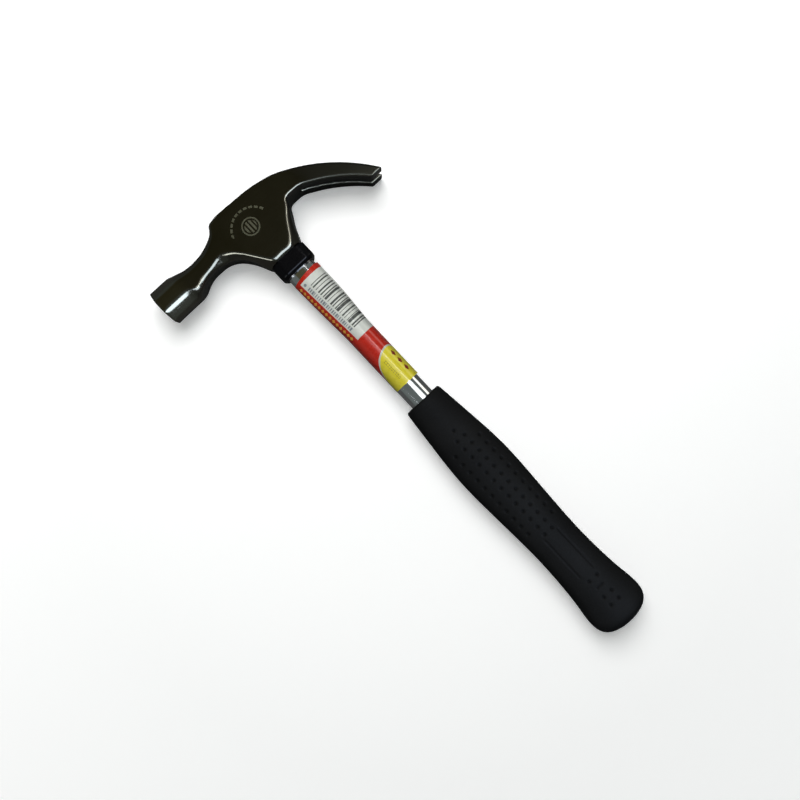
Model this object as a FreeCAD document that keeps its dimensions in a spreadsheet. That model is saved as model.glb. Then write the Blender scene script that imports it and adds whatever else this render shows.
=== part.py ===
import FreeCAD, Part
import math
import os
import Sketcher
from FreeCAD import Placement, Rotation, Vector

# Claw hammer: a forged head on a chrome steel tube, with a rubber grip.
# The hammer lies on its side. +X runs from the head down the handle, +Y towards the claws, +Z up.
# The origin is on the surface it lies on, under the crossing of the handle's axis and the bell's axis.

doc = FreeCAD.newDocument("claw_hammer")
sheet = doc.addObject("Spreadsheet::Sheet", "Sizes")
row_count = 0


def cell(alias, value, note):
    """One driving dimension: a plain number in column B, with its alias and a note beside it."""
    global row_count
    row_count += 1
    sheet.set("A%d" % row_count, alias)
    sheet.set("B%d" % row_count, str(value))
    sheet.set("C%d" % row_count, note)
    sheet.setAlias("B%d" % row_count, alias)


def cells(group):
    for alias, value, note in group:
        cell(alias, value, note)


cells([
    ("mid_height", 12.5, "height of the handle's axis above the surface"),
    ("cheek_half", 12.5, "half thickness of the ground cheeks"),
    ("cheek_bottom", 28.4, "where the cheeks end and the collar begins"),
    ("bell_axis", 0.9, "X of the bell's axis"),
    ("bell_half", 11.3, "half of the bell across its flats"),
    ("face_half", 10.2, "the same at the striking face, inside its chamfer"),
    ("face_at", -74.0, "Y of the striking face"),
    ("face_chamfer", 1.1, "length of the chamfer behind the face"),
    ("octagon_corner", 0.5858, "corner cut of a regular octagon, as a share of half its width"),
    ("claw_radius", 107.2, "radius of the arc over the top of the claws"),
    ("claw_centre_x", 89.1, "X of that arc's centre"),
    ("claw_centre_y", -15.5, "Y of that arc's centre"),
    ("claw_half", 12.6, "half width across the two claws"),
    ("claw_tip_half", 12.1, "the same at the tips"),
    ("claw_root", 30.0, "angle on the arc where the claws' even taper starts"),
    ("claw_tip", 59.0, "angle on the arc where the taper stops, past the ground tips"),
    ("claw_root_thick", 10.7, "thickness of the claws where the taper starts"),
    ("claw_tip_thick", 5.7, "thickness of the claws where the taper stops"),
    ("claw_end", 29.9, "X of the tips' ground ends"),
    ("claw_edge", 0.8, "broken edge along the claws"),
    ("slot_root", 30.2, "angle on the arc of the nail slot's closed end"),
    ("slot_inset", 5.0, "depth of the slot's middle line below the top of the claws"),
    ("slot_root_half", 1.1, "half width of the nail slot at its closed end"),
    ("slot_mouth_half", 4.4, "half width of the nail slot's cutter at its far end"),
    ("slot_long", 62.0, "length of the slot's cutter, past the tips"),
    ("slot_deep", 26.0, "depth of the slot's cutter, through the claws"),
    ("eye_side", 32.0, "half width of the trimming under the eye, clear of the claws"),
    ("trim", 120.0, "reach of the trimming blocks, past the forging on every side"),
    ("run_past", 2.0, "how far a core or a bore runs past the face it opens"),
])
cells([
    ("tube_radius", 7.8, "outer radius of the round tube"),
    ("tube_wall", 1.3, "wall of the tube"),
    ("oval_wide", 9.25, "half width of the oval pressed for the eye"),
    ("oval_thin", 6.2, "half thickness of that oval"),
    ("tube_top", -12.6, "where the tube ends inside the eye"),
    ("oval_end", 44.0, "where the oval starts to turn round"),
    ("oval_middle", 62.0, "half way between the oval and the round"),
    ("oval_middle_wide", 8.75, "half width there"),
    ("oval_middle_thin", 6.9, "half thickness there"),
    ("round_start", 86.0, "where the tube is round"),
    ("tube_end", 306.0, "lower end of the tube, inside the grip"),
    ("eye_top", -15.4, "just above the top of the head"),
    ("seal_top", -14.4, "top of the epoxy, a little below the head's top"),
    ("dowel_end", 40.0, "lower end of the dowel in the tube"),
    ("wedge_depth", 20.0, "how far the wedge is driven in"),
    ("wedge_half", 2.0, "half thickness of the wedge at its head"),
    ("wedge_nose_half", 0.3, "half thickness of the wedge at its nose"),
    ("wedge_half_width", 5.6, "half width of the wedge"),
    ("plug_length", 14.0, "how far the end plug reaches into the tube"),
    ("plug_flange", 2.0, "thickness of the end plug's flange"),
])
cells([
    ("collar_end", 39.2, "lower end of the collar"),
    ("collar_half_width", 12.0, "half width of the collar"),
    ("collar_half_thick", 9.6, "half thickness of the collar"),
    ("collar_corner", 6.0, "corner radius of the collar"),
    ("collar_bevel", 1.9, "bevel round the collar's lower end"),
    ("label_start", 42.4, "upper edge of the label"),
    ("label_end", 129.2, "lower edge of the label"),
    ("label_film", 0.4, "thickness of the label film, with its glue"),
    ("seam_proud", 1.2, "how far the label's overlap stands off the tube"),
    ("seam_wide", 3.2, "width of the overlap round the tube"),
    ("seam_root", 1.5, "how far the overlap's block is sunk towards the tube"),
    ("grip_start", 142.4, "upper end of the grip"),
])

# Sections of the forging from the bell's shoulder to where the claws begin. Each lies in a plane
# through its own top point, leaning about Z, and is an oblong with bevelled corners.
# name: (y of its top point, x of it, lean in degrees, height, half thickness, top bevel, low bevel)
FORGING = {
    "shoulder": (-59.3, -10.3, 16.5, 23.5, 11.3, 6.6, 6.6),
    "shoulder_foot": (-55.3, -8.0, 16.0, 19.3, 10.9, 4.2, 2.9),
    "neck_root": (-49.5, -6.1, 12.0, 15.2, 10.1, 3.3, 2.2),
    "neck_waist": (-42.5, -5.6, 6.0, 12.7, 9.6, 2.8, 1.9),
    "neck_middle": (-34.5, -6.5, 0.0, 13.4, 9.8, 2.8, 2.7),
    "neck_end": (-28.6, -8.2, 0.0, 16.1, 10.5, 2.4, 4.5),
    "cheek_rise": (-23.5, -11.1, 0.0, 21.4, 11.2, 1.8, 4.2),
    "cheek_corner": (-21.4, -13.6, 0.0, 25.6, 11.7, 1.4, 4.1),
    "cheek_side": (-18.4, -14.5, 0.0, 30.1, 12.2, 1.2, 4.3),
    "left_flank": (-14.6, -14.8, 0.0, 37.7, 12.6, 0.9, 6.4),
    "left_foot": (-11.2, -14.7, 0.0, 44.5, 12.7, 0.8, 8.4),
    "eye_left": (-7.6, -14.5, 0.0, 43.5, 12.7, 0.8, 3.2),
    "eye_middle": (-0.8, -14.1, 0.0, 43.5, 12.7, 0.8, 3.2),
    "eye_right": (5.8, -13.75, 0.0, 43.2, 12.7, 0.8, 3.2),
    "right_foot": (10.2, -13.3, 0.0, 41.9, 12.7, 0.8, 7.0),
    "right_flank": (13.0, -12.9, 0.0, 36.1, 12.7, 0.8, 6.0),
    "right_rise": (16.4, -12.2, 0.0, 27.5, 12.7, 0.8, 3.0),
    "claw_foot": (19.6, -11.5, 0.0, 21.2, 12.6, 0.8, 1.2),
    "claw_throat": (23.4, -10.6, -7.0, 17.1, 12.6, 0.8, 0.9),
    "claw_neck": (32.3, -6.85, -22.0, 12.7, 12.6, 0.8, 0.8),
}
FORGING_SIZES = ("at", "top", "lean", "height", "half", "top_bevel", "low_bevel")

# Oval sections of the grip: distance from its upper end, half width, half thickness.
GRIP = {
    "lip": (0.0, 12.3, 10.9),
    "lip_swell": (4.0, 12.8, 11.2),
    "upper": (15.8, 14.0, 11.6),
    "upper_swell": (32.1, 15.7, 12.1),
    "palm": (53.2, 17.0, 12.4),
    "palm_end": (76.5, 16.4, 12.3),
    "fingers": (95.2, 15.5, 11.9),
    "waist": (113.3, 14.9, 11.5),
    "flare": (134.0, 15.4, 11.7),
    "flare_end": (152.0, 17.0, 12.2),
    "butt": (164.5, 18.05, 12.35),
    "butt_round": (168.8, 17.2, 11.8),
    "butt_edge": (172.6, 14.6, 9.8),
    "butt_end": (175.2, 9.6, 6.2),
}

for name, numbers in FORGING.items():
    for part, number in zip(FORGING_SIZES, numbers):
        cell(name + "_" + part, number, "forging section")
for name, (reach, wide, thin) in GRIP.items():
    cell("grip_" + name + "_reach", reach, "grip section, from the grip's upper end")
    cell("grip_" + name + "_wide", wide, "half width")
    cell("grip_" + name + "_thin", thin, "half thickness")
doc.recompute()

CLAW_STEPS = 9
SEWING = 0.001                                      # tolerance of the sewn skin, in millimetres
ACROSS_HANDLE = Rotation(Vector(1, 1, 1), 120)      # local X, Y, Z become the part's Y, Z, X


def size(alias):
    return float(getattr(sheet, alias))


def bind(item, **formulas):
    """Bind properties to the sheet. A double underscore in a name stands for a dot."""
    for name, formula in formulas.items():
        item.setExpression(name.replace("__", "."), formula)


def new_body(name):
    body = doc.addObject("PartDesign::Body", name)
    bind(body, Placement__Base__z="Sizes.mid_height")
    return body


def new_sketch(body, name, role):
    sketch = body.newObject("Sketcher::SketchObject", name)
    plane = [feature for feature in body.Origin.OriginFeatures if feature.Role == role][0]
    sketch.AttachmentSupport = [(plane, "")]
    sketch.MapMode = "FlatFace"
    return sketch


def constrain(sketch, name, formula, kind, *where):
    index = sketch.addConstraint(Sketcher.Constraint(kind, *where))
    sketch.renameConstraint(index, name)
    sketch.setExpression("Constraints." + name, formula)


def outline(sketch, points):
    """A closed outline of straight lines through the points, joined at its corners."""
    count = len(points)
    for index in range(count):
        here = Vector(*points[index], 0)
        there = Vector(*points[(index + 1) % count], 0)
        sketch.addGeometry(Part.LineSegment(here, there), False)
    for index in range(count):
        sketch.addConstraint(Sketcher.Constraint("Coincident", index, 2, (index + 1) % count, 1))


def place_points(sketch, formulas):
    """Bind the corners of an outline, by number: (formula of local X, formula of local Y)."""
    for index, (along, up) in formulas.items():
        constrain(sketch, "x%d" % index, along, "DistanceX", -1, 1, index, 1, 1.0)
        constrain(sketch, "y%d" % index, up, "DistanceY", -1, 1, index, 1, 1.0)


def bevelled_section(body, name, at, top, lean, height, half, top_bevel, low_bevel):
    """An oblong with bevelled corners, in a plane across Y. All sizes are formulas on the sheet."""
    sketch = new_sketch(body, name, "XZ_Plane")
    sketch.AttachmentOffset = Placement(Vector(0, 0, 0), Rotation(Vector(0, 1, 0), 1))
    bind(sketch, AttachmentOffset__Base__x=top, AttachmentOffset__Base__z="-(" + at + ")",
         AttachmentOffset__Rotation__Angle=lean)
    outline(sketch, [(0, 7), (3, 10), (17, 10), (20, 7), (20, -7), (17, -10), (3, -10), (0, -7)])
    for upper, lower in ((0, 7), (1, 6), (2, 5), (3, 4)):
        sketch.addConstraint(Sketcher.Constraint("Symmetric", upper, 1, lower, 1, -1))
    place_points(sketch, {
        0: ("0", half + " - " + top_bevel),
        1: (top_bevel, half),
        2: (height + " - " + low_bevel, half),
        3: (height, half + " - " + low_bevel),
    })
    return sketch


def ovals(prefix, sections):
    """Ovals across the handle, from formulas of (distance along it, half width, half thickness)."""
    made = []
    for index, (along, wide, thin) in enumerate(sections):
        oval = doc.addObject("Part::Ellipse", "%s_oval_%d" % (prefix, index + 1))
        oval.Placement = Placement(Vector(0, 0, 0), ACROSS_HANDLE)
        bind(oval, MajorRadius=wide, MinorRadius=thin, Placement__Base__x=along,
             Placement__Base__z="Sizes.mid_height")
        made.append(oval)
    return made


def oval_solid(name, sections):
    solid = doc.addObject("Part::Loft", name)
    solid.Sections = ovals(name, sections)
    solid.Solid = True
    solid.Ruled = len(sections) == 2
    return solid


def round_bar(name, radius, start, end):
    bar = doc.addObject("Part::Cylinder", name)
    bar.Placement = Placement(Vector(0, 0, 0), ACROSS_HANDLE)
    bind(bar, Radius=radius, Height="(" + end + ") - (" + start + ")", Placement__Base__x=start,
         Placement__Base__z="Sizes.mid_height")
    return bar


def boolean(kind, name, base, tool):
    result = doc.addObject("Part::" + kind, name)
    result.Base = base
    result.Tool = tool
    return result


def section_corners(at, top, lean, height, half, top_bevel, low_bevel):
    """The eight corners of a bevelled section, in the part's frame, in order round it."""
    down = Vector(math.cos(math.radians(lean)), math.sin(math.radians(lean)), 0)
    upper = [(0, half - top_bevel), (top_bevel, half)]
    upper += [(height - low_bevel, half), (height, half - low_bevel)]
    around = upper + [(along, -up) for along, up in reversed(upper)]
    start = Vector(top, at, size("mid_height"))
    return [start + down * along + Vector(0, 0, up) for along, up in around]


def forging_sections():
    """Sections from the bell's shoulder to the cheeks, then square to the arc over the claws."""
    made = [section_corners(*[size(name + "_" + part) for part in FORGING_SIZES]) for name in FORGING]
    for step in range(CLAW_STEPS + 1):
        share = step / CLAW_STEPS
        angle = size("claw_root") + (size("claw_tip") - size("claw_root")) * share
        made.append(section_corners(
            size("claw_centre_y") + size("claw_radius") * math.sin(math.radians(angle)),
            size("claw_centre_x") - size("claw_radius") * math.cos(math.radians(angle)),
            -angle,
            size("claw_root_thick") + (size("claw_tip_thick") - size("claw_root_thick")) * share,
            size("claw_half") + (size("claw_tip_half") - size("claw_half")) * share ** 3,
            size("claw_edge"), size("claw_edge")))
    return made


def spline_skin(name, sections):
    """A solid with a smooth edge through each corner of its sections, and strips between the edges."""
    reach = [0.0]
    for before, after in zip(sections, sections[1:]):
        steps = [(far - near).Length for near, far in zip(before, after)]
        reach.append(reach[-1] + sum(steps) / len(steps))
    edges = []
    for corner in range(len(sections[0])):
        curve = Part.BSplineCurve()
        curve.interpolate(Points=[section[corner] for section in sections], Parameters=reach)
        edges.append(curve.toShape())
    faces = [Part.makeRuledSurface(edge, after) for edge, after in zip(edges, edges[1:] + edges[:1])]
    for end in (sections[0], sections[-1]):
        faces.append(Part.Face(Part.makePolygon(end + [end[0]])))
    shell = Part.Compound(faces)
    shell.sewShape()
    solid = Part.makeSolid(shell.Shells[0])
    solid.fix(SEWING, SEWING, SEWING)
    skin = doc.addObject("Part::Feature", name)
    skin.Shape = solid
    return skin


def block(name, start, length, width, height):
    """A box from its low corner's three formulas and its three sizes."""
    item = doc.addObject("Part::Box", name)
    bind(item, Length=length, Width=width, Height=height,
         Placement__Base__x=start[0], Placement__Base__y=start[1], Placement__Base__z=start[2])
    return item


def make_bell():
    """An octagonal bell with a chamfered face, ending in the leaning shoulder."""
    body = new_body("bell")
    sections = []
    for name, at, half in (("face", "Sizes.face_at", "Sizes.face_half"),
                           ("face_edge", "Sizes.face_at + Sizes.face_chamfer", "Sizes.bell_half")):
        corner = half + " * Sizes.octagon_corner"
        sections.append(bevelled_section(
            body, name, at, "Sizes.bell_axis - " + half, "0 deg", "2 * " + half, half, corner, corner))
    shoulder = ["Sizes.shoulder_" + part for part in FORGING_SIZES]
    sections.append(bevelled_section(body, "bell_end", *shoulder))
    feature = body.newObject("PartDesign::AdditiveLoft", "bell_loft")
    feature.Profile = sections[0]
    feature.Sections = sections[1:]
    feature.Ruled = True
    return body


def make_slot_cutter():
    """A wedge through both faces of the claws, square to their middle, widening towards the tips."""
    cutter = doc.addObject("Part::Wedge", "slot_cutter")
    bind(cutter, Ymin="0", Ymax="Sizes.slot_long",
         Xmin="-0.5 * Sizes.slot_deep", Xmax="0.5 * Sizes.slot_deep",
         X2min="-0.5 * Sizes.slot_deep", X2max="0.5 * Sizes.slot_deep",
         Zmin="-Sizes.slot_root_half", Zmax="Sizes.slot_root_half",
         Z2min="-Sizes.slot_mouth_half", Z2max="Sizes.slot_mouth_half")
    angle = "Sizes.slot_root * 1 deg"
    reach = "(Sizes.claw_radius - Sizes.slot_inset)"
    cutter.Placement = Placement(Vector(0, 0, 0), Rotation(Vector(0, 0, 1), 1))
    bind(cutter, Placement__Base__x="Sizes.claw_centre_x - %s * cos(%s)" % (reach, angle),
         Placement__Base__y="Sizes.claw_centre_y + %s * sin(%s)" % (reach, angle),
         Placement__Base__z="Sizes.mid_height",
         Placement__Rotation__Angle="-0.5 deg * (Sizes.slot_root + Sizes.claw_tip)")
    return cutter


def make_forging():
    """The bar from the shoulder to the claws, ground flat on its sides, under its eye and at its tips."""
    bar = spline_skin("neck_cheeks_and_claws", forging_sections())
    ground = boolean("Common", "ground_bar", bar, block(
        "grinding_gap", ("-Sizes.trim", "-Sizes.trim", "Sizes.mid_height - Sizes.cheek_half"),
        "2 * Sizes.trim", "2 * Sizes.trim", "2 * Sizes.cheek_half"))
    footed = boolean("Cut", "footed_bar", ground, block(
        "below_the_eye", ("Sizes.cheek_bottom", "-Sizes.eye_side", "-Sizes.trim"),
        "Sizes.trim", "2 * Sizes.eye_side", "2 * Sizes.trim"))
    tipped = boolean("Cut", "tipped_bar", footed, block(
        "beyond_the_tips", ("Sizes.claw_end", "Sizes.eye_side", "-Sizes.trim"),
        "Sizes.trim", "Sizes.trim", "2 * Sizes.trim"))
    with_bell = boolean("Fuse", "bar_with_bell", tipped, make_bell())
    return boolean("Cut", "forging", with_bell, make_slot_cutter())


def make_head(forging):
    """The forging with the eye cut through it from the top to the collar."""
    eye = oval_solid("eye_core", [
        ("Sizes.eye_top", "Sizes.oval_wide", "Sizes.oval_thin"),
        ("Sizes.cheek_bottom + Sizes.run_past", "Sizes.oval_wide", "Sizes.oval_thin"),
    ])
    return boolean("Cut", "head", forging, eye)


def tube_bar(name, start, inset, end):
    """The tube's outside, its bore or a film on it, by its inset: oval, then turning round."""
    wide = "Sizes.oval_wide" + inset
    thin = "Sizes.oval_thin" + inset
    oval_part = oval_solid(name + "_oval_part", [(start, wide, thin), ("Sizes.oval_end", wide, thin)])
    turning_part = oval_solid(name + "_turning_part", [
        ("Sizes.oval_end", wide, thin),
        ("Sizes.oval_middle", "Sizes.oval_middle_wide" + inset, "Sizes.oval_middle_thin" + inset),
        ("Sizes.round_start", "Sizes.tube_radius" + inset, "Sizes.tube_radius" + inset),
    ])
    round_part = round_bar(name + "_round_part", "Sizes.tube_radius" + inset, "Sizes.round_start", end)
    bar = doc.addObject("Part::MultiFuse", name)
    bar.Shapes = [oval_part, turning_part, round_part]
    return bar


def make_tube():
    outside = tube_bar("tube_outside", "Sizes.tube_top", "", "Sizes.tube_end")
    bore = tube_bar("tube_bore", "Sizes.tube_top - Sizes.run_past", " - Sizes.tube_wall",
                    "Sizes.tube_end + Sizes.run_past")
    return boolean("Cut", "handle_tube", outside, bore)


def make_wedge(name):
    """A steel wedge, wide across the handle, thin at its nose."""
    wedge = doc.addObject("Part::Wedge", name)
    bind(wedge, Ymin="0", Ymax="Sizes.wedge_depth",
         Xmin="-Sizes.wedge_half_width", Xmax="Sizes.wedge_half_width",
         X2min="-Sizes.wedge_half_width", X2max="Sizes.wedge_half_width",
         Zmin="-Sizes.wedge_half", Zmax="Sizes.wedge_half",
         Z2min="-Sizes.wedge_nose_half", Z2max="Sizes.wedge_nose_half",
         Placement__Base__x="Sizes.tube_top", Placement__Base__z="Sizes.mid_height")
    wedge.Placement = Placement(wedge.Placement.Base, Rotation(Vector(0, 0, 1), -90))
    return wedge


def make_dowel():
    """The dowel that fills the tube's oval end, split by the wedge."""
    inset = " - Sizes.tube_wall"
    core = oval_solid("dowel_core", [
        ("Sizes.tube_top", "Sizes.oval_wide" + inset, "Sizes.oval_thin" + inset),
        ("Sizes.dowel_end", "Sizes.oval_wide" + inset, "Sizes.oval_thin" + inset),
    ])
    return boolean("Cut", "shock_dowel", core, make_wedge("wedge_space"))


def make_seal():
    return oval_solid("eye_seal", [
        ("Sizes.seal_top", "Sizes.oval_wide", "Sizes.oval_thin"),
        ("Sizes.tube_top", "Sizes.oval_wide", "Sizes.oval_thin"),
    ])


def make_collar():
    """A rounded oblong ferrule, bevelled at its lower end, with an oval hole for the tube."""
    body = new_body("collar_shell")
    sketch = new_sketch(body, "collar_outline", "YZ_Plane")
    bind(sketch, AttachmentOffset__Base__z="Sizes.cheek_bottom")
    outline(sketch, [(-9, -7), (9, -7), (9, 7), (-9, 7)])
    place_points(sketch, {
        0: ("-Sizes.collar_half_width", "-Sizes.collar_half_thick"),
        1: ("Sizes.collar_half_width", "-Sizes.collar_half_thick"),
        2: ("Sizes.collar_half_width", "Sizes.collar_half_thick"),
        3: ("-Sizes.collar_half_width", "Sizes.collar_half_thick"),
    })
    pad = body.newObject("PartDesign::Pad", "collar_pad")
    pad.Profile = sketch
    bind(pad, Length="Sizes.collar_end - Sizes.cheek_bottom")
    doc.recompute()
    corner_edges = []
    for index, edge in enumerate(pad.Shape.Edges):
        along = edge.tangentAt(edge.FirstParameter)
        if abs(along.x) > 0.99:
            corner_edges.append("Edge%d" % (index + 1))
    corners = body.newObject("PartDesign::Fillet", "collar_corners")
    corners.Base = (pad, corner_edges)
    bind(corners, Radius="Sizes.collar_corner")
    doc.recompute()
    lower_edges = []
    for index, edge in enumerate(corners.Shape.Edges):
        if edge.BoundBox.XMin > size("collar_end") - 0.01:
            lower_edges.append("Edge%d" % (index + 1))
    bevel = body.newObject("PartDesign::Chamfer", "collar_bevel_cut")
    bevel.Base = (corners, lower_edges)
    bind(bevel, Size="Sizes.collar_bevel")
    hole = oval_solid("collar_hole", [
        ("Sizes.cheek_bottom - Sizes.run_past", "Sizes.oval_wide", "Sizes.oval_thin"),
        ("Sizes.collar_end + Sizes.run_past", "Sizes.oval_wide", "Sizes.oval_thin"),
    ])
    return boolean("Cut", "collar", body, hole)


def make_label():
    """A film round the tube, with its overlap standing off the tube on the side of the claws."""
    outside = tube_bar("label_outside", "Sizes.label_start", " + Sizes.label_film", "Sizes.label_end")
    seam = doc.addObject("Part::Box", "label_seam")
    bind(seam, Length="Sizes.label_end - Sizes.label_start", Height="Sizes.seam_wide",
         Width="Sizes.seam_proud + Sizes.seam_root", Placement__Base__x="Sizes.label_start",
         Placement__Base__y="Sizes.tube_radius - Sizes.seam_root",
         Placement__Base__z="Sizes.mid_height - Sizes.seam_wide / 2")
    wrapped = boolean("Fuse", "label_with_seam", outside, seam)
    inside = tube_bar("label_inside", "Sizes.tube_top", "", "Sizes.tube_end")
    return boolean("Cut", "wrap_label", wrapped, inside)


def make_plug():
    """A plastic plug in the tube's lower end, with a flange over its rim."""
    stem = round_bar("plug_stem", "Sizes.tube_radius - Sizes.tube_wall",
                     "Sizes.tube_end - Sizes.plug_length", "Sizes.tube_end")
    flange = round_bar("plug_flange_disc", "Sizes.tube_radius", "Sizes.tube_end",
                       "Sizes.tube_end + Sizes.plug_flange")
    return boolean("Fuse", "butt_plug", stem, flange)


def make_grip():
    """The rubber sleeve: oval sections along the handle, hollow for the tube and its plug."""
    sections = []
    for name in GRIP:
        prefix = "Sizes.grip_" + name
        sections.append(("Sizes.grip_start + " + prefix + "_reach", prefix + "_wide",
                         prefix + "_thin"))
    outside = oval_solid("grip_outside", sections)
    hollow = round_bar("grip_hollow", "Sizes.tube_radius", "Sizes.grip_start - Sizes.run_past",
                       "Sizes.tube_end + Sizes.plug_flange")
    return boolean("Cut", "grip", outside, hollow)


subparts = {
    "head": make_head(make_forging()),
    "handle_tube": make_tube(),
    "eye_wedge": make_wedge("eye_wedge"),
    "shock_dowel": make_dowel(),
    "eye_seal": make_seal(),
    "collar": make_collar(),
    "wrap_label": make_label(),
    "butt_plug": make_plug(),
    "grip": make_grip(),
}
for label, item in subparts.items():
    item.Label = label
doc.recompute()

for item in doc.Objects:
    if "Invalid" in item.State or "Error" in item.State:
        raise RuntimeError("%s failed: %s" % (item.Name, item.State))
os.makedirs("parts", exist_ok=True)
for label, item in subparts.items():
    shape = item.Shape
    if shape.isNull() or not shape.isValid() or len(shape.Solids) != 1:
        raise RuntimeError("%s is not one valid solid" % label)
    box = shape.BoundBox
    print("%-12s %9.1f mm3  X %7.2f %7.2f  Y %7.2f %7.2f  Z %7.2f %7.2f" % (
        label, shape.Volume, box.XMin, box.XMax, box.YMin, box.YMax, box.ZMin, box.ZMax))
for label, item in subparts.items():
    item.Shape.exportStep("parts/%s.step" % label)
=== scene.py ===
import math

import bmesh
import bpy
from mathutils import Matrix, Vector
from mathutils.bvhtree import BVHTree


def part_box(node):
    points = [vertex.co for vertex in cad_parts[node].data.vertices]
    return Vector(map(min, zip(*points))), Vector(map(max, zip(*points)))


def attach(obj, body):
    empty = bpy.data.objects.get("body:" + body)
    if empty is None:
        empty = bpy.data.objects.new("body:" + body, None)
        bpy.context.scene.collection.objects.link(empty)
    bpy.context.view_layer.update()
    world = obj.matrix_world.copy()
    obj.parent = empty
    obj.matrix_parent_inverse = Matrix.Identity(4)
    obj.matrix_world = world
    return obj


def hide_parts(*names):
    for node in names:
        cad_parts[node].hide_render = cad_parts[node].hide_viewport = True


# A claw hammer lying on its side on a pale floor.
# +X runs from the head down the handle, +Y towards the claws, +Z up.
# The hammer is worked out in millimetres and given to Blender in metres. The studio is in metres throughout.

MM = 0.001

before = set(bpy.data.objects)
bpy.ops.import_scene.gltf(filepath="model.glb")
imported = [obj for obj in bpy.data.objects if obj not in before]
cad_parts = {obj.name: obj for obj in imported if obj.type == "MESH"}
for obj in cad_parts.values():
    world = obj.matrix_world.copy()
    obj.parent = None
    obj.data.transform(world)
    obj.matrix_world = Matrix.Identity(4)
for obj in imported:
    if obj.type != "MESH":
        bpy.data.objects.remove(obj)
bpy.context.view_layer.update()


def node_box(node):
    """Lowest and highest corner of a CAD node, in millimetres."""
    low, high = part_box(node)
    return low / MM, high / MM


head_low, head_high = node_box("head")
label_low, label_high = node_box("wrap_label")
grip_low, grip_high = node_box("grip")
AXIS_Z = (head_low.z + head_high.z) / 2    # height of the handle's axis
CHEEK_TOP = head_high.z                    # height of the cheek that faces up


# Nodes ---------------------------------------------------------------------------------------------------

def feed(tree, socket, value):
    """Links another node's output to a socket, or sets a plain value on it."""
    if isinstance(value, bpy.types.NodeSocket):
        tree.links.new(value, socket)
    else:
        socket.default_value = value


def new_node(tree, kind, *inputs, operation=None, **named):
    """A node with its inputs given in order or by name, where an underscore in a name stands for a space."""
    made = tree.nodes.new(kind)
    if operation:
        made.operation = operation
    for index, value in enumerate(inputs):
        feed(tree, made.inputs[index], value)
    for name, value in named.items():
        feed(tree, made.inputs[name.replace("_", " ")], value)
    return made


def rgb(red, green, blue):
    """A colour as a shader's socket takes it."""
    return (red, green, blue, 1.0)


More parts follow.
